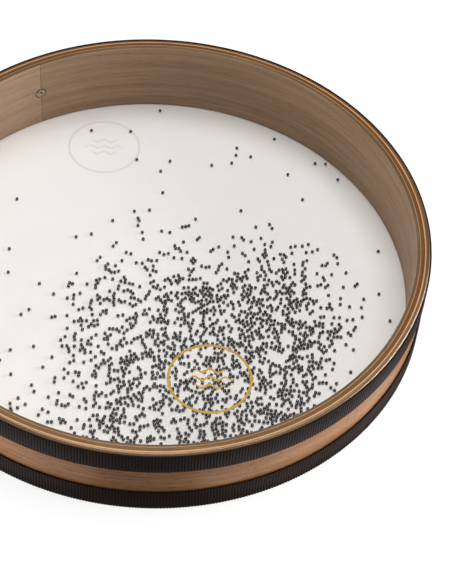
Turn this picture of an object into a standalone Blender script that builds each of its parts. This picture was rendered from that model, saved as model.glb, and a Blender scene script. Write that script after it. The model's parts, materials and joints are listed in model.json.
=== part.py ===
"""Wave drum: a bent wooden shell closed by two films, with loose steel beads between them.

Metres, +Z up. The drum rests on its lower film: the origin is at the bottom centre, and the
photograph's near side faces -Y. All turned pieces share one segment count and start angle.
"""

import math
import random

import bpy
from mathutils import Matrix, Vector

# Overall
DRUM_DIAMETER = 0.400
DRUM_HEIGHT = 0.063
SEGMENTS = 72

# Clearance between pieces that are glued or that rest on each other
SEAT_GAP = 0.0003

# Shell, from the inside out, and its bearing edges
INNER_PLY_THICKNESS = 0.0031
CORE_PLY_THICKNESS = 0.0031
FACE_PLY_THICKNESS = 0.00195
INNER_CHAMFER_HEIGHT = 0.0018
OUTER_EDGE_RADIUS = 0.0018
EDGE_ARC_STEPS = 3

# Films, folded over the shell's edges, and the webbing glued over their skirts
FILM_THICKNESS = 0.00025
SKIRT_LENGTH = 0.016
BAND_WIDTH = 0.019
BAND_THICKNESS = 0.001
BAND_EDGE_ROUND = 0.00025
BAND_SETBACK = 0.0003

# Air vent at the shell's seam, half way up: its bore is smaller than a bead
SEAM_ANGLE = math.radians(120)
VENT_BORE_DIAMETER = 0.0017
VENT_HOLE_DIAMETER = 0.005
VENT_RECESS_DIAMETER = 0.0096
VENT_RECESS_DEPTH = 0.002
VENT_INNER_FLANGE_DIAMETER = 0.0078
VENT_OUTER_FLANGE_DIAMETER = 0.0075
VENT_FLANGE_THICKNESS = 0.0006
VENT_SIDES = 20
CUTTER_OVERSHOOT = 0.004

# Beads: one on the drum's axis, a centre patch round it, and an inner and an outer patch in each
# of six directions, with (angle in degrees, inner count, outer count)
BEAD_DIAMETER = 0.0025
BEAD_SUBDIVISIONS = 2
BEAD_SPACING = 3.0
CENTRE_PATCH_BEADS = 3
CENTRE_PATCH_SHARE = 0.24
INNER_PATCH_SHARE = 0.61
PATCH_SPREAD = math.radians(54)
PATCH_DIRECTIONS = {
    "front": (-90, 5, 6),
    "front_right": (-30, 5, 6),
    "back_right": (30, 3, 4),
    "back": (90, 2, 2),
    "back_left": (150, 2, 2),
    "front_left": (210, 4, 4),
}
LOAD_SEED = 11

# Radii of the nested pieces, from the outside in
BAND_INNER_RADIUS = DRUM_DIAMETER / 2 - BAND_THICKNESS
FILM_OUTER_RADIUS = BAND_INNER_RADIUS - SEAT_GAP
FACE_OUTER_RADIUS = FILM_OUTER_RADIUS - FILM_THICKNESS - SEAT_GAP
FACE_INNER_RADIUS = FACE_OUTER_RADIUS - FACE_PLY_THICKNESS
CORE_OUTER_RADIUS = FACE_INNER_RADIUS - SEAT_GAP
CORE_INNER_RADIUS = CORE_OUTER_RADIUS - CORE_PLY_THICKNESS
INNER_OUTER_RADIUS = CORE_INNER_RADIUS - SEAT_GAP
CHAMBER_RADIUS = INNER_OUTER_RADIUS - INNER_PLY_THICKNESS

# Heights of the shell's two edges
SHELL_BOTTOM = FILM_THICKNESS + SEAT_GAP
SHELL_TOP = DRUM_HEIGHT - SHELL_BOTTOM
EDGE_RADIUS = min(OUTER_EDGE_RADIUS, FACE_PLY_THICKNESS)

MATERIALS = {
    "walnut_stained_beech": ((0.27, 0.15, 0.08, 1.0), 0.45, 0.0),
    "stained_rim": ((0.30, 0.15, 0.05, 1.0), 0.4, 0.0),
    "clear_film": ((0.90, 0.91, 0.90, 0.18), 0.08, 0.0),
    "white_film": ((0.82, 0.80, 0.77, 1.0), 0.35, 0.0),
    "black_webbing": ((0.015, 0.014, 0.014, 1.0), 0.8, 0.0),
    "nickel": ((0.55, 0.56, 0.58, 1.0), 0.3, 1.0),
    "steel_bead": ((0.14, 0.15, 0.17, 1.0), 0.35, 1.0),
}


def clear_scene():
    """Remove the objects that a new Blender file starts with."""
    for obj in list(bpy.data.objects):
        bpy.data.objects.remove(obj, do_unlink=True)


def new_collection(name):
    """Return a new collection linked to the scene."""
    collection = bpy.data.collections.new(name)
    bpy.context.scene.collection.children.link(collection)
    return collection


def make_material(name):
    """Return the Principled material called name, with its colour, roughness and metallic value."""
    colour, roughness, metallic = MATERIALS[name]
    material = bpy.data.materials.get(name) or bpy.data.materials.new(name)
    material.use_nodes = True
    shader = material.node_tree.nodes["Principled BSDF"]
    shader.inputs["Base Color"].default_value = colour
    shader.inputs["Alpha"].default_value = colour[3]
    shader.inputs["Roughness"].default_value = roughness
    shader.inputs["Metallic"].default_value = metallic
    return material


def turned(name, points, closed, segments, material, collection):
    """Turn a profile of (radius, height) points about local Z; an open one makes a surface."""
    edges = [(i, i + 1) for i in range(len(points) - 1)]
    if closed:
        edges.append((len(points) - 1, 0))
    mesh = bpy.data.meshes.new(name)
    mesh.from_pydata([(radius, 0.0, height) for radius, height in points], edges, [])
    mesh.materials.append(make_material(material))
    obj = bpy.data.objects.new(name, mesh)
    collection.objects.link(obj)
    screw = obj.modifiers.new("turn", "SCREW")
    screw.steps = segments
    screw.render_steps = segments
    screw.use_merge_vertices = True
    screw.merge_threshold = 0.00001
    screw.use_smooth_shade = True
    return obj


def edge_arc(centre_radius, centre_height, radius, start, end):
    """Points of a quarter round in the profile plane, between two angles in degrees."""
    arc = []
    for step in range(EDGE_ARC_STEPS + 1):
        angle = math.radians(start + (end - start) * step / EDGE_ARC_STEPS)
        arc.append((centre_radius + radius * math.cos(angle), centre_height + radius * math.sin(angle)))
    return arc


def make_plies(collection):
    """Three nested hoops: the inner one slants down to the chamber, the face one is rounded outside."""
    wood = "walnut_stained_beech"
    inner = turned("shell_inner_ply", [
        (INNER_OUTER_RADIUS, SHELL_TOP),
        (INNER_OUTER_RADIUS, SHELL_BOTTOM),
        (CHAMBER_RADIUS, SHELL_BOTTOM + INNER_CHAMFER_HEIGHT),
        (CHAMBER_RADIUS, SHELL_TOP - INNER_CHAMFER_HEIGHT),
    ], True, SEGMENTS, wood, collection)
    core = turned("shell_core_ply", [
        (CORE_OUTER_RADIUS, SHELL_TOP),
        (CORE_OUTER_RADIUS, SHELL_BOTTOM),
        (CORE_INNER_RADIUS, SHELL_BOTTOM),
        (CORE_INNER_RADIUS, SHELL_TOP),
    ], True, SEGMENTS, "stained_rim", collection)
    arc_radius = FACE_OUTER_RADIUS - EDGE_RADIUS
    face = turned("shell_face_ply", [
        *edge_arc(arc_radius, SHELL_TOP - EDGE_RADIUS, EDGE_RADIUS, 90, 0),
        *edge_arc(arc_radius, SHELL_BOTTOM + EDGE_RADIUS, EDGE_RADIUS, 0, -90),
        (FACE_INNER_RADIUS, SHELL_BOTTOM),
        (FACE_INNER_RADIUS, SHELL_TOP),
    ], True, SEGMENTS, wood, collection)
    return inner, core, face


def make_head(name, material, upside_down, collection):
    """A film drawn over the shell's edge and folded down its outside, to a skirt under the band."""
    fold_radius = EDGE_RADIUS + SEAT_GAP + FILM_THICKNESS
    fold_centre = FILM_OUTER_RADIUS - fold_radius
    points = [
        (0.0, DRUM_HEIGHT),
        *edge_arc(fold_centre, DRUM_HEIGHT - fold_radius, fold_radius, 90, 0),
        (FILM_OUTER_RADIUS, DRUM_HEIGHT - SKIRT_LENGTH),
    ]
    if upside_down:
        points = [(radius, DRUM_HEIGHT - height) for radius, height in reversed(points)]
    head = turned(name, points, False, SEGMENTS, material, collection)
    wall = head.modifiers.new("film", "SOLIDIFY")
    wall.thickness = FILM_THICKNESS
    wall.offset = -1.0
    wall.use_even_offset = True
    return head


def make_band(name, top, collection):
    """Webbing glued round the skirt: a hoop of flat tape with softened edges."""
    radius = DRUM_DIAMETER / 2
    band = turned(name, [(radius, top), (radius, top - BAND_WIDTH)], False, SEGMENTS, "black_webbing", collection)
    wall = band.modifiers.new("tape", "SOLIDIFY")
    wall.thickness = BAND_THICKNESS
    wall.offset = -1.0
    wall.use_even_offset = True
    soft = band.modifiers.new("soft_edges", "BEVEL")
    soft.width = BAND_EDGE_ROUND
    soft.segments = 1
    soft.limit_method = "ANGLE"
    soft.angle_limit = math.radians(60)
    return band


def vent_placement():
    """Matrix that puts local +Z radially outward at the seam, with the origin on the chamber's wall."""
    outward = Vector((math.cos(SEAM_ANGLE), math.sin(SEAM_ANGLE), 0.0))
    centre = outward * CHAMBER_RADIUS + Vector((0.0, 0.0, DRUM_HEIGHT / 2))
    return Matrix.Translation(centre) @ outward.to_track_quat("Z", "Y").to_matrix().to_4x4()


def radial_cutter(name, diameter, start, end, collection):
    """A hidden cylinder along the vent's axis, between two distances from the chamber's wall."""
    bpy.ops.mesh.primitive_cylinder_add(vertices=VENT_SIDES, radius=diameter / 2, depth=end - start)
    cutter = bpy.context.object
    cutter.name = name
    cutter.matrix_world = vent_placement() @ Matrix.Translation((0.0, 0.0, (start + end) / 2))
    cutter.hide_render = True
    cutter.display_type = "WIRE"
    for other in list(cutter.users_collection):
        other.objects.unlink(cutter)
    collection.objects.link(cutter)
    return cutter


def cut(obj, cutter):
    """Subtract a cutter from an object with a live Boolean."""
    boolean = obj.modifiers.new(cutter.name, "BOOLEAN")
    boolean.operation = "DIFFERENCE"
    boolean.solver = "EXACT"
    boolean.object = cutter


def make_vent(plies, collection, cutters):
    """A flanged insert through all the plies, seated in a recess of the inner one."""
    inner_ply, core_ply, face_ply = plies
    wall = FACE_OUTER_RADIUS - CHAMBER_RADIUS
    hole = radial_cutter("vent_hole", VENT_HOLE_DIAMETER, -CUTTER_OVERSHOOT, wall + CUTTER_OVERSHOOT, cutters)
    recess = radial_cutter("vent_recess", VENT_RECESS_DIAMETER, -CUTTER_OVERSHOOT, VENT_RECESS_DEPTH, cutters)
    for ply in (inner_ply, core_ply, face_ply):
        cut(ply, hole)
    cut(inner_ply, recess)
    bore = VENT_BORE_DIAMETER / 2
    shank = VENT_HOLE_DIAMETER / 2 - SEAT_GAP
    inner_seat = VENT_RECESS_DEPTH - SEAT_GAP
    outer_seat = wall + SEAT_GAP
    vent = turned("vent_insert", [
        (bore, outer_seat + VENT_FLANGE_THICKNESS),
        (VENT_OUTER_FLANGE_DIAMETER / 2, outer_seat + VENT_FLANGE_THICKNESS),
        (VENT_OUTER_FLANGE_DIAMETER / 2, outer_seat),
        (shank, outer_seat),
        (shank, inner_seat),
        (VENT_INNER_FLANGE_DIAMETER / 2, inner_seat),
        (VENT_INNER_FLANGE_DIAMETER / 2, inner_seat - VENT_FLANGE_THICKNESS),
        (bore, inner_seat - VENT_FLANGE_THICKNESS),
    ], True, VENT_SIDES, "nickel", collection)
    vent.matrix_world = vent_placement()
    return vent


def patch_outlines():
    """Yield each patch's name, bead count, inner and outer radius, and middle angle and spread."""
    reach = CHAMBER_RADIUS * math.cos(math.pi / SEGMENTS) - SEAT_GAP - BEAD_DIAMETER / 2
    centre_edge = reach * CENTRE_PATCH_SHARE
    inner_edge = reach * INNER_PATCH_SHARE
    yield "centre", CENTRE_PATCH_BEADS, 0.0, centre_edge, 0.0, 2 * math.pi
    for direction, (angle, inner_count, outer_count) in PATCH_DIRECTIONS.items():
        middle = math.radians(angle)
        yield f"{direction}_inner", inner_count, centre_edge, inner_edge, middle, PATCH_SPREAD
        yield f"{direction}_outer", outer_count, inner_edge, reach, middle, PATCH_SPREAD


def scatter(rng, count, low, high, middle, spread, taken):
    """Return count places in a patch, evenly spread over its area and clear of those taken."""
    places = []
    while len(places) < count:
        radius = math.sqrt(rng.uniform(low * low, high * high))
        angle = middle + rng.uniform(-spread, spread) / 2
        place = Vector((radius * math.cos(angle), radius * math.sin(angle), 0.0))
        if all((place - other).length > BEAD_SPACING * BEAD_DIAMETER for other in taken + places):
            places.append(place)
    return places


def bead_mesh():
    """Return the ball that all the beads share."""
    bpy.ops.mesh.primitive_ico_sphere_add(subdivisions=BEAD_SUBDIVISIONS, radius=BEAD_DIAMETER / 2)
    pattern = bpy.context.object
    ball = pattern.data
    ball.name = "bead"
    ball.shade_smooth()
    ball.materials.append(make_material("steel_bead"))
    bpy.data.objects.remove(pattern, do_unlink=True)
    return ball


def add_child(name, data, parent, location, collection):
    """Link an object, or an empty where data is None, under a parent."""
    child = bpy.data.objects.new(name, data)
    child.parent = parent
    child.location = location
    collection.objects.link(child)
    return child


def make_beads(collection):
    """Beads at rest on the lower film, all under an empty on the drum's axis that swirls the load.

    Each patch has an empty of its own, on which it falls from one film to the other.
    """
    rng = random.Random(LOAD_SEED)
    ball = bead_mesh()
    on_film = Vector((0.0, 0.0, FILM_THICKNESS + SEAT_GAP + BEAD_DIAMETER / 2))
    axis_place = Vector((0.0, 0.0, 0.0))
    swirl = add_child("load_swirl", None, None, on_film, collection)
    add_child("bead_axis", ball, swirl, axis_place, collection)
    taken = [axis_place]
    for patch, count, low, high, middle, spread in patch_outlines():
        mover = add_child(f"{patch}_fall", None, swirl, axis_place, collection)
        places = scatter(rng, count, low, high, middle, spread, taken)
        for number, place in enumerate(places, 1):
            add_child(f"bead_{patch}_{number}", ball, mover, place, collection)
        taken.extend(places)


def main():
    clear_scene()
    drum = new_collection("wave_drum")
    cutters = new_collection("cutters")
    plies = make_plies(drum)
    make_vent(plies, drum, cutters)
    make_head("top_head", "clear_film", False, drum)
    make_head("bottom_head", "white_film", True, drum)
    make_band("upper_band", DRUM_HEIGHT - BAND_SETBACK, drum)
    make_band("lower_band", BAND_SETBACK + BAND_WIDTH, drum)
    make_beads(drum)


main()
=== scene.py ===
"""Looks of the wave drum: stained ply shell, two films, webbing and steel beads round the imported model.

Metres, +Z up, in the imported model's frame: the drum lies on its white film at z = 0 and the
photograph's near side faces -Y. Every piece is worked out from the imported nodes' boxes and from
the sizes in the classes below.
"""

from __future__ import annotations

import json
import logging
import math
import random
from dataclasses import dataclass, field
from enum import Enum
from typing import Any, Callable, Iterator, Sequence

import bmesh
import bpy
from mathutils import Euler, Matrix, Vector

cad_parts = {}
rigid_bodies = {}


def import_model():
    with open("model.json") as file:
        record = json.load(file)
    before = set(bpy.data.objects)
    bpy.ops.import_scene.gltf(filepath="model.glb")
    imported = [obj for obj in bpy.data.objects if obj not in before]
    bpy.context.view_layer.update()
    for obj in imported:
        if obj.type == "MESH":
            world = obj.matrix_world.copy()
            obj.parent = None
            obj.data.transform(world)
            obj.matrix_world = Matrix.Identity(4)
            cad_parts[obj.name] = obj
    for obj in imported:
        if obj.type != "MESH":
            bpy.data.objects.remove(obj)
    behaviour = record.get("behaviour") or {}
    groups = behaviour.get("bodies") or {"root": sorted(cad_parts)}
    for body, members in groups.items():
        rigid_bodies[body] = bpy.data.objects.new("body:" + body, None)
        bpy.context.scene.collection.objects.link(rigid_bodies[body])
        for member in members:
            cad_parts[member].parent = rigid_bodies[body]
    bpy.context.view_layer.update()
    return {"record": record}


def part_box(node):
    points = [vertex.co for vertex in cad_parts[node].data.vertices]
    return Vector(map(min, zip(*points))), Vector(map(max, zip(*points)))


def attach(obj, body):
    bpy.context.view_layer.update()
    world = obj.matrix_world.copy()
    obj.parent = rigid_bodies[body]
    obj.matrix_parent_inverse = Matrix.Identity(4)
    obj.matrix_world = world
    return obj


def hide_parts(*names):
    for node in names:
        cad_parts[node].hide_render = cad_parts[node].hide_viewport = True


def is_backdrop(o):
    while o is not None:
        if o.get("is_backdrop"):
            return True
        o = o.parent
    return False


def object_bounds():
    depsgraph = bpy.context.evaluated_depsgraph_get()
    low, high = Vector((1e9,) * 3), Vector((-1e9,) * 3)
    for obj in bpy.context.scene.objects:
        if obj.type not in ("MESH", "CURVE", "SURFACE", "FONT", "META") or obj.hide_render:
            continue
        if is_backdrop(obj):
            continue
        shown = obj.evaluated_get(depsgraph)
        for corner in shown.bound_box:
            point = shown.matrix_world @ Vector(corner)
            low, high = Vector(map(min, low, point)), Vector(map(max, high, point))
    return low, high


LOG = logging.getLogger("wave_drum")
MILLIMETRE = 0.001

# Points closer than this are one point, and edges bent by more than this many degrees stay sharp
MERGE_DISTANCE = 0.001 * MILLIMETRE
SHARP_ANGLE = 32.0

# Sockets of Blender's Mix node, and the length of one band of its wave texture at scale 1
NUMBER_A, NUMBER_B, COLOUR_A, COLOUR_B = 2, 3, 6, 7
COLOUR_OUT = 2
WAVE_BAND = math.pi / 10

# Colours that more than one piece uses
WHITE = "#FFFFFF"
GOLDEN_GLOSS = "#FFCF89"

Piece = bpy.types.Object
Profile = list[tuple[float, float]]
Socket = bpy.types.NodeSocket
Tree = bpy.types.NodeTree


class Side(Enum):
    """Which of the drum's two alike ends a film or a band is on."""

    UPPER = "upper"
    LOWER = "lower"


# Materials


def linear(hex_colour: str) -> tuple[float, float, float, float]:
    """Turn an sRGB hex colour into linear light.

    Args:
        hex_colour: The colour as written on screen, such as "#96693C".

    Returns:
        Red, green, blue and an alpha of 1.
    """
    channels = [int(hex_colour[i:i + 2], 16) / 255 for i in (1, 3, 5)]
    light = [c / 12.92 if c <= 0.04045 else ((c + 0.055) / 1.055) ** 2.4 for c in channels]
    return light[0], light[1], light[2], 1.0


def per_metre(size_mm: float) -> float:
    """How many times a pattern of a size in millimetres goes into a metre."""
    return 1000 / size_mm


def add_node(tree: Tree, kind: str, links: dict[Any, Any] | None = None,
             **settings: Any) -> bpy.types.Node:
    """Add a shader node with its settings, values and links.

    Args:
        tree: The node tree to add to.
        kind: The node's type name without "ShaderNode", such as "TexNoise".
        links: Input socket to the output socket, value or colour that feeds it.
        **settings: The node's own properties, such as operation.

    Returns:
        The new node.
    """
    node = tree.nodes.new("ShaderNode" + kind)
    for name, value in settings.items():
        setattr(node, name, value)
    for key, value in (links or {}).items():
        if isinstance(value, Socket):
            tree.links.new(value, node.inputs[key])
        else:
            node.inputs[key].default_value = value
    return node


def new_material(name: str, values: dict[str, Any]) -> tuple[bpy.types.Material, Tree, bpy.types.Node]:
    """Start a material with one Principled shader.

    Args:
        name: The material's name.
        values: The shader's socket to the number or colour that it has all over the surface.

    Returns:
        The material, its node tree and its Principled node.
    """
    material = bpy.data.materials.new(name)
    material.use_nodes = True
    tree = material.node_tree
    shader = tree.nodes["Principled BSDF"]
    for socket, value in values.items():
        shader.inputs[socket].default_value = value
    return material, tree, shader


def find_place(tree: Tree) -> tuple[Socket, Socket, Socket]:
    """Read where a point of the surface lies on the drum.

    Args:
        tree: The material's node tree.

    Returns:
        Its place, its place with the height taken out, and its distance from the axis.
    """
    place = add_node(tree, "TexCoord").outputs["Object"]
    flat = add_node(tree, "VectorMath", {0: place, 1: (1.0, 1.0, 0.0)}, operation="MULTIPLY").outputs[0]
    radius = add_node(tree, "VectorMath", {0: flat}, operation="LENGTH").outputs["Value"]
    return place, flat, radius


def colour_in_clouds(tree: Tree, shader: bpy.types.Node, place: Socket, size_mm: float, detail: float,
                     tones: tuple[str, str]) -> Socket:
    """Colour a surface in soft clouds of two tones.

    Args:
        tree: The material's node tree.
        shader: Its Principled node.
        place: Where each point of the surface lies.
        size_mm: Size of a cloud.
        detail: How finely the clouds break up.
        tones: The dark and the pale tone, as hex colours.

    Returns:
        The clouds' value, from dark to pale.
    """
    dark, pale = tones
    cloud = add_node(tree, "TexNoise", {"Vector": place, "Scale": per_metre(size_mm), "Detail": detail})
    tone = add_node(tree, "Mix", {
        "Factor": cloud.outputs[0], COLOUR_A: linear(dark), COLOUR_B: linear(pale)}, data_type="RGBA")
    tree.links.new(tone.outputs[COLOUR_OUT], shader.inputs["Base Color"])
    return cloud.outputs[0]


@dataclass(frozen=True)
class StainedHardwood:
    """Steam-bent hardwood veneer, brown stained: long fine fibres run round the shell, satin.

    Fibres cut across by sanding, as on the rim, throw light back golden, which gloss_tint gives.
    The tone drifts round the shell by turn_share, and steps back at turn_start, where its ends meet.
    Streaks are given by their width and length.
    """

    name: str
    pale: str
    dark: str
    roughness: float = 0.5
    specular: float = 0.2
    figure_share: float = 0.45
    pore_share: float = 0.4
    turn_share: float = 0.0
    turn_start: float = 0.0
    gloss_tint: str = WHITE
    pore_stain: str = "#271D16"
    fibre_mm: tuple[float, float] = (1.3, 42.0)
    figure_mm: tuple[float, float] = (9.0, 150.0)
    pore_mm: tuple[float, float] = (0.6, 6.0)
    tone_span: tuple[float, float] = (0.36, 0.64)
    pore_span: tuple[float, float] = (0.42, 0.3)
    roughness_swing: float = 0.08
    relief: float = 0.3
    relief_mm: float = 0.06

    def material(self) -> bpy.types.Material:
        """Lay fibres, a broader figure and dark pores along the shell.

        Returns:
            The material, on Object coordinates.
        """
        material, tree, shader = new_material(self.name, {
            "Specular IOR Level": self.specular, "Specular Tint": linear(self.gloss_tint)})
        place, flat, radius = find_place(tree)
        height = add_node(tree, "SeparateXYZ", {0: place}).outputs["Z"]
        across = add_node(tree, "Math", {0: height, 1: radius}, operation="ADD").outputs[0]
        fibres = self.streaks(tree, flat, across, self.fibre_mm)
        figure = self.streaks(tree, flat, across, self.figure_mm)
        grain = add_node(tree, "Mix", {
            "Factor": self.figure_share, NUMBER_A: fibres, NUMBER_B: figure}, data_type="FLOAT")
        turned = add_node(tree, "Mapping", {
            "Vector": place, "Scale": (1.0, -1.0, 1.0),
            "Rotation": (0.0, 0.0, math.pi + self.turn_start)}, vector_type="POINT")
        turn = add_node(tree, "TexGradient", {"Vector": turned.outputs[0]}, gradient_type="RADIAL")
        tone = add_node(tree, "Mix", {
            "Factor": self.turn_share, NUMBER_A: grain.outputs[0], NUMBER_B: turn.outputs["Fac"]},
            data_type="FLOAT")
        ramp = add_node(tree, "MapRange", {
            "Value": tone.outputs[0], "From Min": self.tone_span[0], "From Max": self.tone_span[1]})
        stain = add_node(tree, "Mix", {
            "Factor": ramp.outputs[0], COLOUR_A: linear(self.dark), COLOUR_B: linear(self.pale)},
            data_type="RGBA")
        flecks = self.streaks(tree, flat, across, self.pore_mm)
        pores = add_node(tree, "MapRange", {
            "Value": flecks, "From Min": self.pore_span[0], "From Max": self.pore_span[1],
            "To Max": self.pore_share})
        wood = add_node(tree, "Mix", {
            "Factor": pores.outputs[0], COLOUR_A: stain.outputs[COLOUR_OUT],
            COLOUR_B: linear(self.pore_stain)}, data_type="RGBA")
        tree.links.new(wood.outputs[COLOUR_OUT], shader.inputs["Base Color"])
        rough = add_node(tree, "MapRange", {
            "Value": fibres, "To Min": self.roughness + self.roughness_swing,
            "To Max": self.roughness - self.roughness_swing})
        tree.links.new(rough.outputs[0], shader.inputs["Roughness"])
        bump = add_node(tree, "Bump", {
            "Height": flecks, "Strength": self.relief, "Distance": self.relief_mm * MILLIMETRE})
        tree.links.new(bump.outputs[0], shader.inputs["Normal"])
        return material

    @staticmethod
    def streaks(tree: Tree, flat: Socket, across: Socket, size_mm: tuple[float, float]) -> Socket:
        """Noise drawn out round the shell.

        Args:
            tree: The material's node tree.
            flat: The place with its height taken out.
            across: A value that grows across the fibres, up the wall and over the rim.
            size_mm: Width and length of a streak.

        Returns:
            The noise value.
        """
        width, length = size_mm
        along = add_node(tree, "VectorMath", {0: flat, "Scale": per_metre(length)}, operation="SCALE")
        steps = add_node(tree, "Math", {0: across, 1: per_metre(width)}, operation="MULTIPLY")
        rise = add_node(tree, "CombineXYZ", {"Z": steps.outputs[0]})
        where = add_node(tree, "VectorMath", {0: along.outputs[0], 1: rise.outputs[0]}, operation="ADD")
        noise = add_node(tree, "TexNoise", {
            "Vector": where.outputs[0], "Scale": 1.0, "Detail": 4.0, "Roughness": 0.6})
        return noise.outputs[0]


@dataclass(frozen=True)
class PolyesterFilm:
    """Clear drawn polyester film: nearly all light passes, and its face throws the lamps back softly."""

    name: str = "clear_polyester_film"
    tint: str = "#161616"
    gloss_tint: str = WHITE
    alpha: float = 0.03
    roughness: float = 0.3
    specular: float = 0.5
    ior: float = 2.0

    def material(self) -> bpy.types.Material:
        """Mix a plain see-through film.

        Returns:
            The material.
        """
        return new_material(self.name, {
            "Base Color": linear(self.tint),
            "Specular Tint": linear(self.gloss_tint),
            "Specular IOR Level": self.specular,
            "Alpha": self.alpha,
            "Roughness": self.roughness,
            "IOR": self.ior,
        })[0]


@dataclass(frozen=True)
class FoldFilmWithPaintedReflection(PolyesterFilm):
    """The clear film where it is folded over the rim: a tan veil painted on it stands in for the fold's
    reflection of the lamps, and its strong gloss catches the lamps as well.
    """

    name: str = "fold_film_painted_reflection"
    # Painted reflection: a mostly opaque tan veil over the fold, lit like a matt surface.
    tint: str = "#8A6A48"
    gloss_tint: str = "#FFF0E0"
    alpha: float = 0.7
    specular: float = 0.8


@dataclass(frozen=True)
class MilkyFilm:
    """White pigmented polyester film: off-white and satin, with a faint uneven tone from casting."""

    name: str = "milky_polyester_film"
    pale: str = "#F2F0ED"
    dark: str = "#EAE7E4"
    roughness: float = 0.38
    cloud_mm: float = 35.0
    grain_mm: float = 0.9
    relief: float = 0.08
    relief_mm: float = 0.05

    def material(self) -> bpy.types.Material:
        """Lay wide faint clouds and a fine grain over the film.

        Returns:
            The material, on Object coordinates.
        """
        material, tree, shader = new_material(self.name, {"Roughness": self.roughness})
        place = add_node(tree, "TexCoord").outputs["Object"]
        colour_in_clouds(tree, shader, place, self.cloud_mm, detail=3.0, tones=(self.dark, self.pale))
        grain = add_node(tree, "TexNoise", {
            "Vector": place, "Scale": per_metre(self.grain_mm), "Detail": 2.0})
        bump = add_node(tree, "Bump", {
            "Height": grain.outputs[0], "Strength": self.relief, "Distance": self.relief_mm * MILLIMETRE})
        tree.links.new(bump.outputs[0], shader.inputs["Normal"])
        return material


@dataclass(frozen=True)
class RibbedWebbing:
    """Woven polyester tape: matt black yarn, with painted shade in the valleys between its ribs so that the
    ribs read paler, and a dull shine to a lamp.

    Its weft is too fine to show, so it is drawn several times as coarse as it is.
    """

    valley: float
    crest: float
    name: str = "black_ribbed_webbing"
    pale: str = "#3A2C29"
    dark: str = "#0E0A08"
    gloss_tint: str = "#FFE2D4"
    roughness: float = 0.45
    specular: float = 0.1
    yarn_mm: float = 0.8
    weft_mm: float = 1.5834
    weft_wobble: float = 0.6
    relief: float = 0.5
    relief_mm: float = 0.12

    def material(self) -> bpy.types.Material:
        """Weave the tape, with painted shade darkest in the valleys.

        Returns:
            The material, on Object coordinates.
        """
        material, tree, shader = new_material(self.name, {
            "Roughness": self.roughness,
            "Specular IOR Level": self.specular,
            "Specular Tint": linear(self.gloss_tint),
        })
        place, _, radius = find_place(tree)
        # Painted shade: dark in the valleys and pale on the rib crests, broken up by the yarn's noise.
        ridge = add_node(tree, "MapRange", {
            "Value": radius, "From Min": self.valley, "From Max": self.crest})
        yarn = add_node(tree, "TexNoise", {"Vector": place, "Scale": per_metre(self.yarn_mm), "Detail": 3.0})
        valley_shade_and_yarn = add_node(tree, "Math", {0: ridge.outputs[0], 1: yarn.outputs[0]}, operation="MULTIPLY")
        tone = add_node(tree, "Mix", {
            "Factor": valley_shade_and_yarn.outputs[0], COLOUR_A: linear(self.dark), COLOUR_B: linear(self.pale)},
            data_type="RGBA")
        tree.links.new(tone.outputs[COLOUR_OUT], shader.inputs["Base Color"])
        weft = add_node(tree, "TexWave", {
            "Vector": place, "Scale": WAVE_BAND * per_metre(self.weft_mm),
            "Distortion": self.weft_wobble, "Detail": 1.0}, bands_direction="Z")
        bump = add_node(tree, "Bump", {
            "Height": weft.outputs["Fac"], "Strength": self.relief, "Distance": self.relief_mm * MILLIMETRE})
        tree.links.new(bump.outputs[0], shader.inputs["Normal"])
        return material


@dataclass(frozen=True)
class Metal:
    """A bare or plated metal: its colour is its reflection, cloudy from handling and tumbling."""

    name: str
    pale: str
    dark: str
    roughness: float
    metallic: float = 1.0
    cloud_mm: float = 2.0
    roughness_swing: float = 0.06

    def material(self) -> bpy.types.Material:
        """Cloud the metal's tone and gloss.

        Returns:
            The material, on Object coordinates.
        """
        material, tree, shader = new_material(self.name, {"Metallic": self.metallic})
        place = add_node(tree, "TexCoord").outputs["Object"]
        cloud = colour_in_clouds(
            tree, shader, place, self.cloud_mm, detail=2.0, tones=(self.dark, self.pale))
        rough = add_node(tree, "MapRange", {
            "Value": cloud, "To Min": self.roughness - self.roughness_swing,
            "To Max": self.roughness + self.roughness_swing})
        tree.links.new(rough.outputs[0], shader.inputs["Roughness"])
        return material


@dataclass(frozen=True)
class PrintedInk(Metal):
    """Screen-printed ink: nearly even, with a metallic shine where it holds metal powder."""

    metallic: float = 0.0
    cloud_mm: float = 9.0


# Modelling helpers


def deselect() -> None:
    """Leave nothing selected, in object mode."""
    if bpy.context.object and bpy.context.object.mode != "OBJECT":
        bpy.ops.object.mode_set(mode="OBJECT")
    bpy.ops.object.select_all(action="DESELECT")


def select_only(piece: Piece) -> None:
    """Make a piece the only selected and the active object.

    Args:
        piece: The piece.
    """
    deselect()
    piece.select_set(True)
    bpy.context.view_layer.objects.active = piece


def apply_modifiers(piece: Piece) -> None:
    """Apply a piece's modifiers in their order.

    Args:
        piece: The piece.
    """
    select_only(piece)
    for name in [modifier.name for modifier in piece.modifiers]:
        bpy.ops.object.modifier_apply(modifier=name)


def settle(piece: Piece) -> None:
    """Move a piece's place, turn and scale into its mesh."""
    select_only(piece)
    bpy.ops.object.transform_apply(location=True, rotation=True, scale=True)


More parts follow.
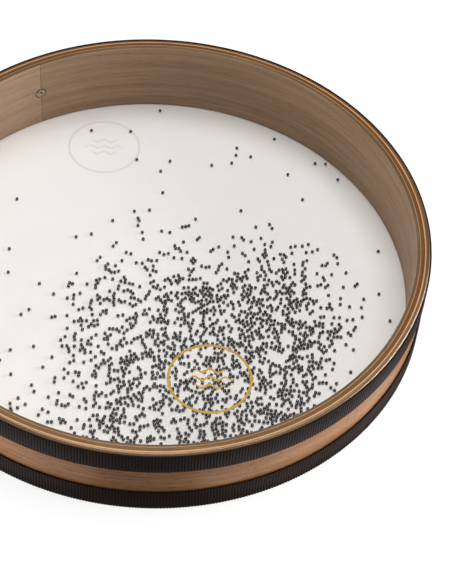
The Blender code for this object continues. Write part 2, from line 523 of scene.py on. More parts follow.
def turn_profile(name: str, profile: Profile, segments: int, closed: bool) -> Piece:
    """Model a turned piece: a circle extruded ring by ring along a profile.

    Args:
        name: The piece's name.
        profile: (radius, height) of each ring; an open profile that starts at radius 0 is a disc there.
        segments: Number of facets round the axis.
        closed: Whether the last ring joins the first, as on a hoop.

    Returns:
        The new object, with its faces pointing out.
    """
    rings = list(profile)
    capped = rings[0][0] == 0.0
    if capped:
        rings = rings[1:]
    if closed:
        rings = rings + [rings[0]]
    radius, height = rings[0]
    deselect()
    fill = "TRIFAN" if capped else "NOTHING"
    bpy.ops.mesh.primitive_circle_add(
        vertices=segments, radius=radius, fill_type=fill, location=(0.0, 0.0, height))
    piece = bpy.context.object
    piece.name = name
    bpy.ops.object.mode_set(mode="EDIT")
    bpy.ops.mesh.select_all(action="SELECT")
    if capped:
        bpy.ops.mesh.region_to_loop()
    for next_radius, next_height in rings[1:]:
        bpy.ops.mesh.extrude_region()
        scale = next_radius / radius
        bpy.ops.transform.resize(value=(scale, scale, 1.0), center_override=(0.0, 0.0, 0.0))
        bpy.ops.transform.translate(value=(0.0, 0.0, next_height - height))
        radius, height = next_radius, next_height
    bpy.ops.mesh.select_all(action="SELECT")
    bpy.ops.mesh.remove_doubles(threshold=MERGE_DISTANCE)
    bpy.ops.mesh.normals_make_consistent(inside=False)
    bpy.ops.object.mode_set(mode="OBJECT")
    settle(piece)
    return piece


def smooth(piece: Piece, angle: float = SHARP_ANGLE) -> None:
    """Shade a piece smooth, with its edges above an angle in degrees kept sharp."""
    select_only(piece)
    bpy.ops.object.shade_smooth_by_angle(angle=math.radians(angle))


def remove(piece: Piece) -> None:
    """Delete an object."""
    bpy.data.objects.remove(piece, do_unlink=True)


def cut(piece: Piece, *cutters: Piece) -> None:
    """Cut shapes out of a piece one after the other, and remove them.

    Args:
        piece: The piece.
        *cutters: The shapes to cut out.
    """
    for cutter in cutters:
        boolean = piece.modifiers.new("cut", "BOOLEAN")
        boolean.operation = "DIFFERENCE"
        boolean.solver = "EXACT"
        boolean.object = cutter
        apply_modifiers(piece)
        remove(cutter)


def dress(piece: Piece, material: bpy.types.Material) -> None:
    """Give a piece one material all over."""
    piece.data.materials.clear()
    piece.data.materials.append(material)


def dress_part(piece: Piece, material: bpy.types.Material, chosen: Callable[[Vector], bool]) -> None:
    """Give some of a piece's faces another material.

    Args:
        piece: The piece, at rest in the model's frame.
        material: The material to add.
        chosen: Tells from a face's centre whether the face takes it.
    """
    piece.data.materials.append(material)
    last = len(piece.data.materials) - 1
    for polygon in piece.data.polygons:
        if chosen(polygon.center):
            polygon.material_index = last


def place_piece(piece: Piece, body: str, slot: str, nodes: Sequence[str] = ()) -> None:
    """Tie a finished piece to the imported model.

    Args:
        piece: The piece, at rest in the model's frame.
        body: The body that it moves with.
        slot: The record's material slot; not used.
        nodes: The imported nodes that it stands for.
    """
    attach(piece, body)
    if nodes:
        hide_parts(*nodes)
    LOG.info("%s: %d faces on %s", piece.name, len(piece.data.polygons), body)


def quarter_round(centre: tuple[float, float], radius: float, start: float, end: float,
                  steps: int) -> Profile:
    """Points of a round edge in the profile plane.

    Args:
        centre: (radius from the axis, height) of the round's centre.
        radius: The round's own radius.
        start: First angle in degrees, from outwards towards up.
        end: Last angle in degrees.
        steps: Number of spans.

    Returns:
        The points from start to end.
    """
    angles = [math.radians(start + (end - start) * i / steps) for i in range(steps + 1)]
    return [(centre[0] + radius * math.cos(a), centre[1] + radius * math.sin(a)) for a in angles]


# The shell


@dataclass
class Shell:
    """Three bent plies with glue between them, slanted to the chamber inside and rounded outside."""

    inner_ply: float = 3.1 * MILLIMETRE
    inner_ply_shown: float = 2.4 * MILLIMETRE
    face_ply: float = 2.6 * MILLIMETRE
    chamfer_height: float = 0.7 * MILLIMETRE
    edge_radius: float = 1.6 * MILLIMETRE
    edge_steps: int = 6
    arris: float = 0.25 * MILLIMETRE
    glue_play: float = 0.01 * MILLIMETRE
    glued_out: float = 0.28 * MILLIMETRE
    pale_line: float = 0.9 * MILLIMETRE
    inner_line: float = 0.5 * MILLIMETRE
    segments: int = 288
    seam_angle: float = math.radians(120)
    face_seam_angle: float = math.radians(97)
    seam_width: float = 0.35 * MILLIMETRE
    seam_depth: float = 0.4 * MILLIMETRE
    vent_hole: float = 5.0 * MILLIMETRE
    vent_recess: float = 9.6 * MILLIMETRE
    vent_recess_depth: float = 1.2 * MILLIMETRE
    vent_recess_shift: float = 0.5 * MILLIMETRE
    cutter_sides: int = 40
    bottom: float = field(init=False)
    top: float = field(init=False)
    chamber_radius: float = field(init=False)
    inner_outer: float = field(init=False)
    core_inner: float = field(init=False)
    core_outer: float = field(init=False)
    face_inner: float = field(init=False)
    face_outer: float = field(init=False)

    def __post_init__(self) -> None:
        """Read the shell's outline from its packed plies, and set where one ply ends and the next starts."""
        low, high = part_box("shell_face_ply")
        self.bottom, self.top = low.z - self.glued_out, high.z + self.glued_out
        self.face_inner = high.x - self.face_ply + self.pale_line / 2
        self.face_outer = high.x + self.glued_out
        self.chamber_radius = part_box("shell_inner_ply")[1].x - self.inner_ply
        self.inner_outer = self.chamber_radius + self.inner_ply_shown
        self.core_inner = self.inner_outer + self.inner_line
        self.core_outer = self.face_inner - self.pale_line

    @property
    def wall(self) -> float:
        """Thickness of the whole shell."""
        return self.face_outer - self.chamber_radius

    def vent_matrix(self) -> Matrix:
        """Find the place on the inner wall at the seam, half way up.

        Returns:
            Its matrix, with +Z pointing out of the drum.
        """
        outward = Vector((math.cos(self.seam_angle), math.sin(self.seam_angle), 0.0))
        centre = outward * self.chamber_radius + Vector((0.0, 0.0, (self.bottom + self.top) / 2))
        return Matrix.Translation(centre) @ outward.to_track_quat("Z", "Y").to_matrix().to_4x4()

    def seam_cutter(self, angle: float, radius: float) -> Piece:
        """Stand a thin upright blade on the wall.

        Args:
            angle: Angle round the axis.
            radius: Radius that the blade is centred on.

        Returns:
            The cutter.
        """
        deselect()
        bpy.ops.mesh.primitive_cube_add(size=1.0)
        blade = bpy.context.object
        blade.scale = (2 * self.seam_depth, self.seam_width, 2 * self.top)
        blade.rotation_euler = Euler((0.0, 0.0, angle))
        blade.location = (radius * math.cos(angle), radius * math.sin(angle), self.top / 2)
        settle(blade)
        return blade

    def round_cutter(self, diameter: float, start: float, end: float, shift: float = 0.0) -> Piece:
        """Lay a cylinder along the vent's axis.

        Args:
            diameter: The hole's diameter.
            start: Where it starts, from the inner wall outwards.
            end: Where it ends.
            shift: How far it lies up and to the left of the axis, seen from inside.

        Returns:
            The cutter.
        """
        deselect()
        bpy.ops.mesh.primitive_cylinder_add(
            vertices=self.cutter_sides, radius=diameter / 2, depth=end - start)
        cutter = bpy.context.object
        cutter.matrix_world = self.vent_matrix() @ Matrix.Translation((shift, shift, (start + end) / 2))
        settle(cutter)
        return cutter

    def vent_cutter(self) -> Piece:
        """The vent's hole, through the whole wall."""
        return self.round_cutter(self.vent_hole, -self.wall, 2 * self.wall)

    def square_hoop(self, name: str, inner: float, outer: float) -> Piece:
        """Model a hoop with square edges, pierced for the vent.

        Args:
            name: The piece's name.
            inner: Radius of the joint inside it.
            outer: Radius of the joint outside it.

        Returns:
            The hoop, a hair clear of both joints.
        """
        hoop = turn_profile(name, [
            (outer - self.glue_play, self.top),
            (outer - self.glue_play, self.bottom),
            (inner + self.glue_play, self.bottom),
            (inner + self.glue_play, self.top),
        ], self.segments, True)
        cut(hoop, self.vent_cutter())
        smooth(hoop)
        return hoop

    def build_inner_ply(self) -> None:
        """Model the chamber's wall, with its slanted edges, its seam and the vent's recess."""
        slope = self.chamfer_height
        ply = turn_profile("inner_ply", [
            (self.inner_outer - self.glue_play, self.top),
            (self.inner_outer - self.glue_play, self.bottom),
            (self.chamber_radius + self.arris, self.bottom + slope - self.arris / 4),
            (self.chamber_radius, self.bottom + slope + self.arris),
            (self.chamber_radius, self.top - slope - self.arris),
            (self.chamber_radius + self.arris, self.top - slope + self.arris * slope / self.inner_ply),
        ], self.segments, True)
        cut(
            ply,
            self.seam_cutter(self.seam_angle, self.chamber_radius),
            self.round_cutter(self.vent_recess, -self.wall, self.vent_recess_depth, self.vent_recess_shift),
            self.vent_cutter(),
        )
        smooth(ply)
        dress(ply, StainedHardwood(
            "inner_veneer", "#AF9178", "#91765B", roughness=0.55, specular=0.1, figure_share=0.6,
            turn_share=0.12, turn_start=self.seam_angle, figure_mm=(7.0, 220.0)).material())
        edge = StainedHardwood("bearing_edge", "#786149", "#5B4733", specular=0.0).material()
        dress_part(ply, edge, lambda centre: centre.xy.length < self.inner_outer - self.arris
                   and not self.bottom + slope < centre.z < self.top - slope)
        place_piece(ply, "drum", "shell_wood", ["shell_inner_ply"])

    def build_core_ply(self) -> None:
        """Model the core ply, whose sanded edge is the golden part of the rim."""
        ply = self.square_hoop("core_ply", self.core_inner, self.core_outer)
        dress(ply, StainedHardwood(
            "core_edge_grain", "#764B25", "#4D2F17", roughness=0.32, specular=0.4,
            gloss_tint=GOLDEN_GLOSS).material())
        place_piece(ply, "drum", "rim_wood", ["shell_core_ply"])

    def build_face_ply(self) -> None:
        """Model the outer veneer, rounded over under the films."""
        middle = self.face_outer - self.edge_radius
        flat_from, flat_to = self.bottom + self.edge_radius, self.top - self.edge_radius
        ply = turn_profile("face_ply", [
            *quarter_round((middle, flat_to), self.edge_radius, 90, 0, self.edge_steps),
            *quarter_round((middle, flat_from), self.edge_radius, 0, -90, self.edge_steps),
            (self.face_inner, self.bottom),
            (self.face_inner, self.top),
        ], self.segments, True)
        cut(ply, self.seam_cutter(self.face_seam_angle, self.face_outer), self.vent_cutter())
        smooth(ply)
        dress(ply, StainedHardwood(
            "face_veneer", "#C08A5A", "#935F38", roughness=0.36, specular=0.42, figure_share=0.4,
            pore_share=1.0, gloss_tint="#FFEAD6", fibre_mm=(1.5, 36.0), pore_mm=(0.8, 6.5)).material())
        edge = StainedHardwood(
            "face_edge_grain", "#7C5029", "#513319", roughness=0.3, specular=1.0, gloss_tint="#FFE0B8")
        dress_part(ply, edge.material(), lambda centre: not flat_from < centre.z < flat_to)
        place_piece(ply, "drum", "shell_wood", ["shell_face_ply"])

    def build_glue_lines(self) -> None:
        """Fill the two joints between the plies with pale glue, flush with the rim."""
        for name, inner, outer, pale, dark in (
            ("inner_pale_line", self.inner_outer, self.core_inner, "#B48F6A", "#9C7853"),
            ("outer_pale_line", self.core_outer, self.face_inner, "#D0A77D", "#B98A5F"),
        ):
            line = self.square_hoop(name, inner, outer)
            dress(line, StainedHardwood(
                name, pale, dark, roughness=0.32, specular=0.5, gloss_tint=GOLDEN_GLOSS).material())
            place_piece(line, "drum", "rim_wood")

    def build(self) -> None:
        """Model all three plies and their glue."""
        self.build_inner_ply()
        self.build_core_ply()
        self.build_face_ply()
        self.build_glue_lines()


@dataclass
class VentInsert:
    """A nickel-plated eyelet through the seam, with a bore that no bead can pass.

    Each countersink of the bore is given by its width and depth.
    """

    shell: Shell
    bore: float = 1.7 * MILLIMETRE
    inner_flange: float = 8.1 * MILLIMETRE
    outer_flange: float = 7.5 * MILLIMETRE
    flange_thickness: float = 0.6 * MILLIMETRE
    flange_steps: int = 6
    seat_gap: float = 0.3 * MILLIMETRE
    outer_sink: tuple[float, float] = (0.5 * MILLIMETRE, 0.25 * MILLIMETRE)
    inner_sink: tuple[float, float] = (0.75 * MILLIMETRE, 0.5 * MILLIMETRE)
    sides: int = 48

    def build(self) -> None:
        """Turn the eyelet, with rolled flanges and a countersunk bore, and set it in the shell."""
        inner_seat = self.shell.vent_recess_depth - self.seat_gap
        outer_seat = self.shell.wall + self.seat_gap
        inner_face = inner_seat - self.flange_thickness
        outer_face = outer_seat + self.flange_thickness
        roll, steps = self.flange_thickness / 2, self.flange_steps
        shank = self.shell.vent_hole / 2 - self.seat_gap
        eyelet = turn_profile("vent_eyelet", [
            (self.bore / 2, outer_face - self.outer_sink[1]),
            (self.bore / 2 + self.outer_sink[0], outer_face),
            *quarter_round((self.outer_flange / 2 - roll, outer_face - roll), roll, 90, -90, steps),
            (shank, outer_seat),
            (shank, inner_seat),
            *quarter_round((self.inner_flange / 2 - roll, inner_face + roll), roll, 90, -90, steps),
            (self.bore / 2 + self.inner_sink[0], inner_face),
            (self.bore / 2, inner_face + self.inner_sink[1]),
        ], self.sides, True)
        eyelet.matrix_world = self.shell.vent_matrix()
        settle(eyelet)
        smooth(eyelet)
        # The nickel's tone is tinted brown: painted reflection of the wood round it, over the plate's own
        # colour.
        dress(eyelet, Metal("nickel_with_painted_wood_reflection", "#B5A08C", "#857265", 0.36).material())
        place_piece(eyelet, "drum", "vent_metal", ["vent_insert"])


# Films, bands and prints


@dataclass
class Head:
    """A film drawn tight over one end of the shell, its edge creased and folded down under the band."""

    side: Side
    thickness: float = 0.25 * MILLIMETRE
    fold_radius: float = 1.7 * MILLIMETRE
    glued_out: float = 0.25 * MILLIMETRE
    # Angle down the fold, from its top, at which the strip with painted reflection starts.
    painted_reflection_angle: float = math.radians(57)
    middle_ring: float = 0.5
    segments: int = 288
    fold_steps: int = 8

    @property
    def node(self) -> str:
        """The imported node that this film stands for."""
        return "top_head" if self.side is Side.UPPER else "bottom_head"

    def build(self) -> None:
        """Model the film as a flat disc with a rounded fold and a skirt, with its real thickness."""
        low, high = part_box(self.node)
        radius, skirt = high.x + self.glued_out, high.z - low.z
        fold = quarter_round(
            (radius - self.fold_radius, -self.fold_radius), self.fold_radius, 90, 0, self.fold_steps)
        rings = [(0.0, 0.0), (radius * self.middle_ring, 0.0), *fold, (radius, -skirt)]
        if self.side is Side.UPPER:
            name, slot, finish = "clear_film_head", "clear_film", PolyesterFilm()
            face, outwards = high.z, 1.0
        else:
            name, slot, finish = "white_film_head", "white_film", MilkyFilm()
            face, outwards = low.z, -1.0
        film = turn_profile(name, [(r, face + outwards * rise) for r, rise in rings], self.segments, False)
        self.face_outwards(film, outwards)
        wall = film.modifiers.new("film", "SOLIDIFY")
        wall.thickness = self.thickness
        wall.offset = -1.0
        wall.use_even_offset = True
        apply_modifiers(film)
        smooth(film)
        dress(film, finish.material())
        if self.side is Side.UPPER:
            # From there outwards, the fold and its skirt take a tan veil: painted reflection of the lamps.
            painted_reflection_from = radius - self.fold_radius * (1 - math.cos(self.painted_reflection_angle))
            dress_part(film, FoldFilmWithPaintedReflection().material(), lambda centre: centre.xy.length > painted_reflection_from)
        place_piece(film, "drum", slot, [self.node])

    @staticmethod
    def face_outwards(film: Piece, outwards: float) -> None:
        """Turn the film's faces away from the chamber, if they point into it.

        Args:
            film: The film, without its thickness.
            outwards: 1 where up leads out of the chamber, and -1 where down does.
        """
        centre = min(film.data.polygons, key=lambda polygon: polygon.center.xy.length)
        if centre.normal.z * outwards < 0:
            select_only(film)
            bpy.ops.object.mode_set(mode="EDIT")
            bpy.ops.mesh.select_all(action="SELECT")
            bpy.ops.mesh.flip_normals()
            bpy.ops.object.mode_set(mode="OBJECT")


@dataclass
class Band:
    """Ribbed webbing glued over a film's skirt: upright ribs with sunk valleys, and bound edges."""

    side: Side
    rib_pitch: float = 2.13 * MILLIMETRE
    rib_depth: float = 0.45 * MILLIMETRE
    points_per_rib: int = 4
    edge_round: float = 0.35 * MILLIMETRE
    corner_share: float = 0.3
    sharp_angle: float = 60.0
    thickness: float = 1.0 * MILLIMETRE
    fold_shown: float = 0.4 * MILLIMETRE
    laid_up: float = 0.7 * MILLIMETRE

    @property
    def node(self) -> str:
        """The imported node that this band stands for."""
        return f"{self.side.value}_band"

    def build(self) -> None:
        """Model the hoop of tape, then sink the valleys between its ribs."""
        low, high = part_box(self.node)
        radius, inner = high.x, high.x - self.thickness
        bottom = low.z + self.laid_up
        top = high.z + (self.laid_up if self.side is Side.LOWER else -self.fold_shown)
        ribs = round(2 * math.pi * radius / self.rib_pitch)
        edge, corner = self.edge_round, self.corner_share * self.edge_round
        tape = turn_profile(f"{self.side.value}_webbing", [
            (radius - edge, top),
            (radius - corner, top - corner),
            (radius, top - edge),
            (radius, bottom + edge),
            (radius - corner, bottom + corner),
            (radius - edge, bottom),
            (inner, bottom),
            (inner, top),
        ], ribs * self.points_per_rib, True)
        self.sink_valleys(tape, ribs, radius)
        smooth(tape, self.sharp_angle)
        dress(tape, RibbedWebbing(radius - self.rib_depth, radius).material())
        place_piece(tape, "drum", "band_webbing", [self.node])

    def sink_valleys(self, tape: Piece, ribs: int, radius: float) -> None:
        """Pull in one upright line of points in each rib.

        Args:
            tape: The smooth hoop.
            ribs: Number of ribs round the hoop.
            radius: The hoop's outer radius.
        """
        mesh = tape.data
        for part in (*mesh.vertices, *mesh.edges, *mesh.polygons):
            part.select = False
        step = 2 * math.pi / (ribs * self.points_per_rib)
        for vertex in mesh.vertices:
            column = round(math.atan2(vertex.co.y, vertex.co.x) / step)
            outside = vertex.co.xy.length > radius - self.thickness / 2
            vertex.select = outside and column % self.points_per_rib == 0
        select_only(tape)
        bpy.ops.object.mode_set(mode="EDIT")
        scale = 1.0 - self.rib_depth / radius
        bpy.ops.transform.resize(value=(scale, scale, 1.0), center_override=(0.0, 0.0, 0.0))
        bpy.ops.object.mode_set(mode="OBJECT")


@dataclass
class WavePrint:
    """A generic printed motif: a plain ring round three short wave strokes with tapered ends."""

    name: str
    centre: Vector
    ink: bpy.types.Material
    slot: str
    radius: float = 29.0 * MILLIMETRE
    ring_points: int = 180
    ring_stroke: float = 1.9 * MILLIMETRE
    wave_stroke: float = 2.0 * MILLIMETRE
    wave_height: float = 1.5 * MILLIMETRE
    wave_pitch: float = 10.7 * MILLIMETRE
    wave_lengths: tuple[float, ...] = (22 * MILLIMETRE, 32 * MILLIMETRE, 22 * MILLIMETRE)
    wave_gap: float = 6.5 * MILLIMETRE
    wave_steps: int = 48
    tip_taper: float = 0.75
    tip_sharpness: int = 3
    ink_thickness: float = 0.03 * MILLIMETRE

    def build(self) -> None:
        """Model the motif as a thin raised layer of ink, and put it on its film."""
        strokes = [self.ring(), *self.waves()]
        select_only(strokes[0])
        for stroke in strokes[1:]:
            stroke.select_set(True)
        bpy.ops.object.join()
        motif = bpy.context.object
        motif.name = self.name
        motif.location = self.centre
        settle(motif)
        layer = motif.modifiers.new("ink", "SOLIDIFY")
        layer.thickness = self.ink_thickness
        layer.offset = 1.0
        apply_modifiers(motif)
        dress(motif, self.ink)
        place_piece(motif, "drum", self.slot)

    def ring(self) -> Piece:
        """Model the ring: a filled circle, inset, with its middle taken out.

        Returns:
            The flat ring.
        """
        deselect()
        bpy.ops.mesh.primitive_circle_add(vertices=self.ring_points, radius=self.radius, fill_type="NGON")
        ring = bpy.context.object
        bpy.ops.object.mode_set(mode="EDIT")
        bpy.ops.mesh.select_all(action="SELECT")
        bpy.ops.mesh.inset(thickness=self.ring_stroke)
        bpy.ops.mesh.delete(type="FACE")
        bpy.ops.object.mode_set(mode="OBJECT")
        return ring

    def waves(self) -> Iterator[Piece]:
        """Model each wave stroke as a narrow strip bent up and down along its length.

        Yields:
            The flat strokes, from the lowest to the highest.
        """
        middle = len(self.wave_lengths) // 2
        for row, length in enumerate(self.wave_lengths):
            deselect()
            bpy.ops.mesh.primitive_grid_add(x_subdivisions=self.wave_steps, y_subdivisions=1, size=1.0)
            strip = bpy.context.object
            strip.scale = (length, self.wave_stroke, 1.0)
            settle(strip)
            for vertex in strip.data.vertices:
                width = 1 - self.tip_taper * abs(2 * vertex.co.x / length) ** self.tip_sharpness
                wave = math.cos(2 * math.pi * vertex.co.x / self.wave_pitch) * self.wave_height
                vertex.co.y = vertex.co.y * width + wave + (row - middle) * self.wave_gap
            yield strip


# The load of beads


@dataclass(frozen=True)
class Heap:
    """A round, soft-edged gathering of beads on the white film."""

    x_mm: float
    y_mm: float
    radius_mm: float
    thickness: float
    blur_mm: float = 8.0

    def cover(self, place: Vector) -> float:
        """Share of the thickest cover that the heap adds at a place."""
        distance = (place - Vector((self.x_mm, self.y_mm, 0.0)) * MILLIMETRE).length / MILLIMETRE
        return self.thickness / (1 + math.exp((distance - self.radius_mm) / self.blur_mm))


@dataclass
class BeadLoad:
    """Loose steel shot lying on the white film, thick at the front and right, thin at the back.

    wall_room, closest and touching are distances between a bead's centre and the wall or another
    bead's centre, in bead diameters.
    """

    chamber_radius: float
    ink_top: float
    count: int = 2120
    touching_share: float = 0.26
    heaps: tuple[Heap, ...] = (
        Heap(66, -55, 62, 1.0, 5.0),
        Heap(108, -22, 42, 0.4),
        Heap(0, -42, 58, 0.5),
        Heap(45, -140, 80, 0.8),
        Heap(-50, -120, 42, 0.27),
        Heap(45, -30, 100, 0.09),
    )
    stray_density: float = 0.005
    wall_room: float = 0.6
    closest: float = 1.01
    touching: tuple[float, float] = (1.02, 1.12)
    ink_play: float = 0.01 * MILLIMETRE
    subdivisions: int = 2
    seed: int = 5
    diameter: float = field(init=False)
    height: float = field(init=False)
    places: list[Vector] = field(default_factory=list)
    cells: dict[tuple[int, int], list[Vector]] = field(default_factory=dict)

    def __post_init__(self) -> None:
        """Read the beads' size, and lay them clear of the ink that is printed on the film."""
        low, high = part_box("bead_axis")
        self.diameter = high.z - low.z
        self.height = self.ink_top + self.ink_play + self.diameter / 2

    def density(self, place: Vector) -> float:
        """Share of the thickest cover that lies at a place, from 0 to 1."""
        return min(1.0, self.stray_density + sum(heap.cover(place) for heap in self.heaps))

    def cell(self, place: Vector) -> tuple[int, int]:
        """Column and row of the square, one bead wide, that a place is in."""
        return math.floor(place.x / self.diameter), math.floor(place.y / self.diameter)

    def fits(self, place: Vector) -> bool:
        """Look whether a bead stays clear of the shell and of the beads laid before.

        Args:
            place: Where its centre would lie, as a flat place.

        Returns:
            Whether it does.
        """
        if place.length > self.chamber_radius - self.wall_room * self.diameter:
            return False
        column, row = self.cell(place)
        near = (
            other
            for i in (-1, 0, 1)
            for j in (-1, 0, 1)
            for other in self.cells.get((column + i, row + j), ())
        )
        return all((place - other).length > self.closest * self.diameter for other in near)

    def lay(self, place: Vector) -> None:
        """Add a bead."""
        self.places.append(place)
        self.cells.setdefault(self.cell(place), []).append(place)

    def scatter(self, leaders: dict[str, list[Vector]]) -> None:
        """Lay every bead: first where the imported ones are, then at random by density, some touching.

        Args:
            leaders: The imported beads' places, by body.
        """
        rng = random.Random(self.seed)
        for places in leaders.values():
            for place in places:
                self.lay(place)
        while len(self.places) < self.count:
            if rng.random() < self.touching_share:
                angle = rng.uniform(0, 2 * math.pi)
                reach = Vector((math.cos(angle), math.sin(angle), 0.0)) * self.diameter
                place = rng.choice(self.places) + reach * rng.uniform(*self.touching)
            else:
                radius = self.chamber_radius * math.sqrt(rng.random())
                angle = rng.uniform(0, 2 * math.pi)
                place = Vector((radius * math.cos(angle), radius * math.sin(angle), 0.0))
            if rng.random() < self.density(place) and self.fits(place):
                self.lay(place)

    def bead(self) -> bpy.types.Mesh:
        """Model one bead.

        Returns:
            Its mesh.
        """
        deselect()
        bpy.ops.mesh.primitive_ico_sphere_add(subdivisions=self.subdivisions, radius=self.diameter / 2)
        ball = bpy.context.object
        bpy.ops.object.shade_smooth()
        mesh = ball.data
        remove(ball)
        return mesh

    def build(self, bodies: dict[str, list[str]]) -> None:
        """Model the load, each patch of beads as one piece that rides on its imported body.

        Args:
            bodies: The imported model's bodies and their nodes.
        """
        leaders = {
            body: [self.on_film(node) for node in nodes]
            for body, nodes in bodies.items()
            if nodes[0].startswith("bead_")
        }
        self.scatter(leaders)
        patches: dict[str, list[Vector]] = {body: [] for body in leaders}
        followers = [
            (leader, body)
            for body, places in leaders.items() if body != "axis_bead"
            for leader in places
        ]
        axis = leaders["axis_bead"][0]
        for place in self.places:
            if place is axis:
                patches["axis_bead"].append(place)
            else:
                nearest = min(followers, key=lambda pair: (pair[0] - place).length_squared)
                patches[nearest[1]].append(place)
        steel = Metal("tumbled_steel_shot", "#7C797B", "#121112", 0.14, cloud_mm=1.7).material()
        ball = self.bead()
        for body, places in patches.items():
            self.build_patch(body, places, ball, steel, bodies[body])

    @staticmethod
    def on_film(node: str) -> Vector:
        """Where a packed bead touches the film, as a flat place."""
        low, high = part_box(node)
        return Vector(((low.x + high.x) / 2, (low.y + high.y) / 2, 0.0))

    def build_patch(self, body: str, places: list[Vector], ball: bpy.types.Mesh,
                    steel: bpy.types.Material, nodes: list[str]) -> None:
        """Copy the bead to each place of a patch, and join the copies into one piece.

        Args:
            body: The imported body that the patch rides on.
            places: Where its beads lie.
            ball: One bead's mesh.
            steel: The beads' material.
            nodes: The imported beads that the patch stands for.
        """
        work = bmesh.new()
        for place in places:
            first = len(work.verts)
            work.from_mesh(ball)
            work.verts.ensure_lookup_table()
            bmesh.ops.translate(work, verts=work.verts[first:], vec=place + Vector((0.0, 0.0, self.height)))
        mesh = bpy.data.meshes.new(f"{body}_beads")
        work.to_mesh(mesh)
        work.free()
        patch = bpy.data.objects.new(f"{body}_beads", mesh)
        bpy.context.scene.collection.objects.link(patch)
        dress(patch, steel)
        place_piece(patch, body, "bead_steel", nodes)


# The studio


def seen_directly(tree: Tree, mirrored_share: float) -> Socket:
    """1 for what the camera sees itself or through a clear piece, otherwise 0.

    Args:
        tree: The floor's or the world's node tree.
        mirrored_share: The value for what it sees in a reflection.

    Returns:
        The value.
    """
    path = add_node(tree, "LightPath")
    mirrored = add_node(tree, "Math", {
        0: path.outputs["Is Glossy Ray"], 1: mirrored_share}, operation="MULTIPLY")
    either = add_node(tree, "Math", {
        0: path.outputs["Is Camera Ray"], 1: mirrored.outputs[0]}, operation="MAXIMUM")
    return add_node(tree, "Math", {
        0: either.outputs[0], 1: path.outputs["Is Transmission Ray"]}, operation="MAXIMUM").outputs[0]


@dataclass(frozen=True)
class Softbox:
    """A rectangular lamp, whose glowing face is width by height."""

    name: str
    place: tuple[float, float, float]
    width: float
    height: float
    power: float

    def hang(self) -> bpy.types.Object:
        """Hang the lamp in its place, turned to the middle of the drum.

        Returns:
            The lamp's object.
        """
        lamp = bpy.data.lights.new(self.name, "AREA")
        lamp.shape = "RECTANGLE"
        lamp.size, lamp.size_y = self.width, self.height
        lamp.energy = self.power
        holder = bpy.data.objects.new(self.name, lamp)
        bpy.context.scene.collection.objects.link(holder)
        holder.location = self.place
        holder.rotation_euler = (-Vector(self.place)).to_track_quat("-Z", "Y").to_euler()
        return holder


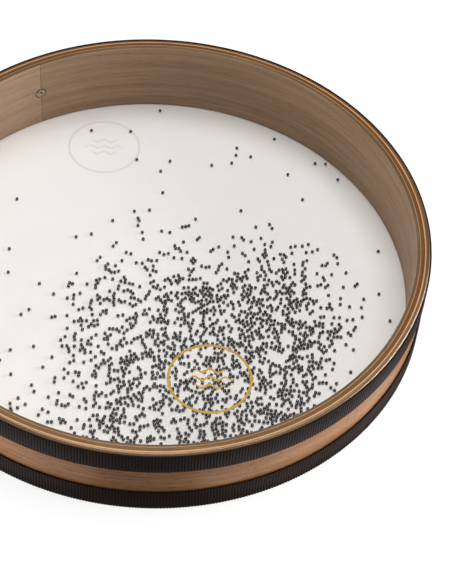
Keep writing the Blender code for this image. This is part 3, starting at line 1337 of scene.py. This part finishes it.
@dataclass
class Studio:
    """A plain pale floor, soft lamps and a camera where the photographer stood.

    A low softbox stands at either side, a broad one hangs overhead and a faint one behind it. Glowing
    cards lie on the floor at the front, each given by its angle round the drum in degrees and its power.
    """

    floor_colour: str = "#807F7E"
    floor_roughness: float = 0.9
    floor_glow: float = 0.85
    floor_size: float = 12.0
    floor_gap: float = 0.05 * MILLIMETRE
    world_light: float = 0.17
    mirrored_share: float = 0.2
    lamps: tuple[Softbox, ...] = (
        Softbox("right_softbox", (1.34, 0.1, 0.34), 1.1, 0.5, 19.5),
        Softbox("left_softbox", (-1.32, -0.16, 0.14), 0.5, 0.26, 10.8),
        Softbox("overhead_softbox", (0.2, 0.06, 1.6), 1.2, 1.2, 20.3),
        Softbox("back_softbox", (-0.16, 0.6, 1.25), 0.7, 0.45, 3.4),
    )
    cards: tuple[tuple[float, float], ...] = (
        (-42.0, 0.052), (-61.0, 0.052), (-120.0, 0.05), (-142.0, 0.05))
    card_length: float = 0.14
    card_width: float = 0.2
    card_gap: float = 2.5 * MILLIMETRE
    card_lift: float = 1.0 * MILLIMETRE
    camera_distance: float = 1.2364
    camera_elevation: float = math.radians(48.265)
    pitch: float = math.radians(50.312)
    yaw: float = math.radians(3.804)
    roll: float = math.radians(5.064)
    lens_mm: float = 105.52
    sensor_mm: float = 36.0

    def build(self, drum_height: float) -> None:
        """Set the floor, the world, the lamps and the camera.

        Args:
            drum_height: Height of the drum's upper film, which the camera's place is measured from.
        """
        self.build_floor()
        self.build_world()
        for lamp in self.lamps:
            lamp.hang()
        self.lay_cards()
        self.build_camera(drum_height)

    def build_floor(self) -> None:
        """Lay a wide pale floor just under the drum."""
        deselect()
        bpy.ops.mesh.primitive_plane_add(size=self.floor_size, location=(0.0, 0.0, -self.floor_gap))
        floor = bpy.context.object
        floor.name = "studio_floor"
        material, tree, shader = new_material("pale_floor", {
            "Base Color": linear(self.floor_colour),
            "Roughness": self.floor_roughness,
            "Specular IOR Level": 0.0,
            "Emission Color": linear(WHITE),
        })
        glow = add_node(tree, "Math", {
            0: seen_directly(tree, self.mirrored_share), 1: self.floor_glow}, operation="MULTIPLY")
        tree.links.new(glow.outputs[0], shader.inputs["Emission Strength"])
        dress(floor, material)
        floor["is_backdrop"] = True

    def build_world(self) -> None:
        """Light everything evenly, and show white behind it."""
        world = bpy.data.worlds.new("studio_world")
        world.use_nodes = True
        bpy.context.scene.world = world
        tree = world.node_tree
        sky = tree.nodes["Background"]
        seen = add_node(tree, "MapRange", {
            "Value": seen_directly(tree, self.mirrored_share), "To Min": self.world_light, "To Max": 1.0})
        sky.inputs["Color"].default_value = linear(WHITE)
        tree.links.new(seen.outputs[0], sky.inputs["Strength"])

    def lay_cards(self) -> None:
        """Lay the cards face up beside the drum, out of the camera's sight, for the wall to mirror."""
        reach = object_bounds()[1].x + self.card_gap + self.card_width / 2
        for turn, power in self.cards:
            angle = math.radians(turn)
            place = (reach * math.cos(angle), reach * math.sin(angle), self.card_lift)
            card = Softbox("card", place, self.card_length, self.card_width, power).hang()
            card.rotation_euler = (math.pi, 0.0, angle + math.pi / 2)
            card.visible_camera = False

    def build_camera(self, drum_height: float) -> None:
        """Stand the camera where the fit of the photograph's rim lines puts it.

        Args:
            drum_height: Height of the drum's upper film.
        """
        lens = bpy.data.cameras.new("camera")
        lens.lens = self.lens_mm
        lens.sensor_width = self.sensor_mm
        camera = bpy.data.objects.new("camera", lens)
        bpy.context.scene.collection.objects.link(camera)
        level_share, drop = math.cos(self.pitch), math.sin(self.pitch)
        forward = Vector((math.sin(self.yaw) * level_share, math.cos(self.yaw) * level_share, -drop))
        level = Vector((math.cos(self.yaw), -math.sin(self.yaw), 0.0))
        above = level.cross(forward)
        right = math.cos(self.roll) * level + math.sin(self.roll) * above
        up = -math.sin(self.roll) * level + math.cos(self.roll) * above
        out, rise = math.cos(self.camera_elevation), math.sin(self.camera_elevation)
        place = Vector((0.0, -self.camera_distance * out, self.camera_distance * rise + drum_height))
        turn = Matrix((right, up, -forward)).transposed()
        camera.matrix_world = Matrix.Translation(place) @ turn.to_4x4()
        bpy.context.scene.camera = camera


def main() -> None:
    """Build the drum's looks, piece by piece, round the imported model."""
    logging.basicConfig(level=logging.INFO, format="%(message)s")
    for thing in list(bpy.data.objects):
        remove(thing)
    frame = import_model()
    bpy.context.scene.view_settings.view_transform = "Standard"

    shell = Shell()
    shell.build()
    VentInsert(shell).build()
    for side in Side:
        Head(side).build()
        Band(side).build()
    clear_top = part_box("top_head")[1].z
    white_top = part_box("bottom_head")[0].z + Head.thickness
    gold = PrintedInk("gold_print", "#AC8724", "#8D6B18", 0.42, metallic=0.3).material()
    faint = PrintedInk("show_through", "#E2DEDA", "#DDD9D4", 0.5).material()
    WavePrint("gold_wave_print", Vector((0.040, -0.135, clear_top)), gold, "clear_film").build()
    WavePrint("show_through_print", Vector((-0.0435, 0.139, white_top)), faint, "white_film").build()
    bodies = frame["record"]["behaviour"]["bodies"]
    BeadLoad(shell.chamber_radius, white_top + WavePrint.ink_thickness).build(bodies)
    Studio().build(clear_top)


if __name__ == "__main__":
    main()
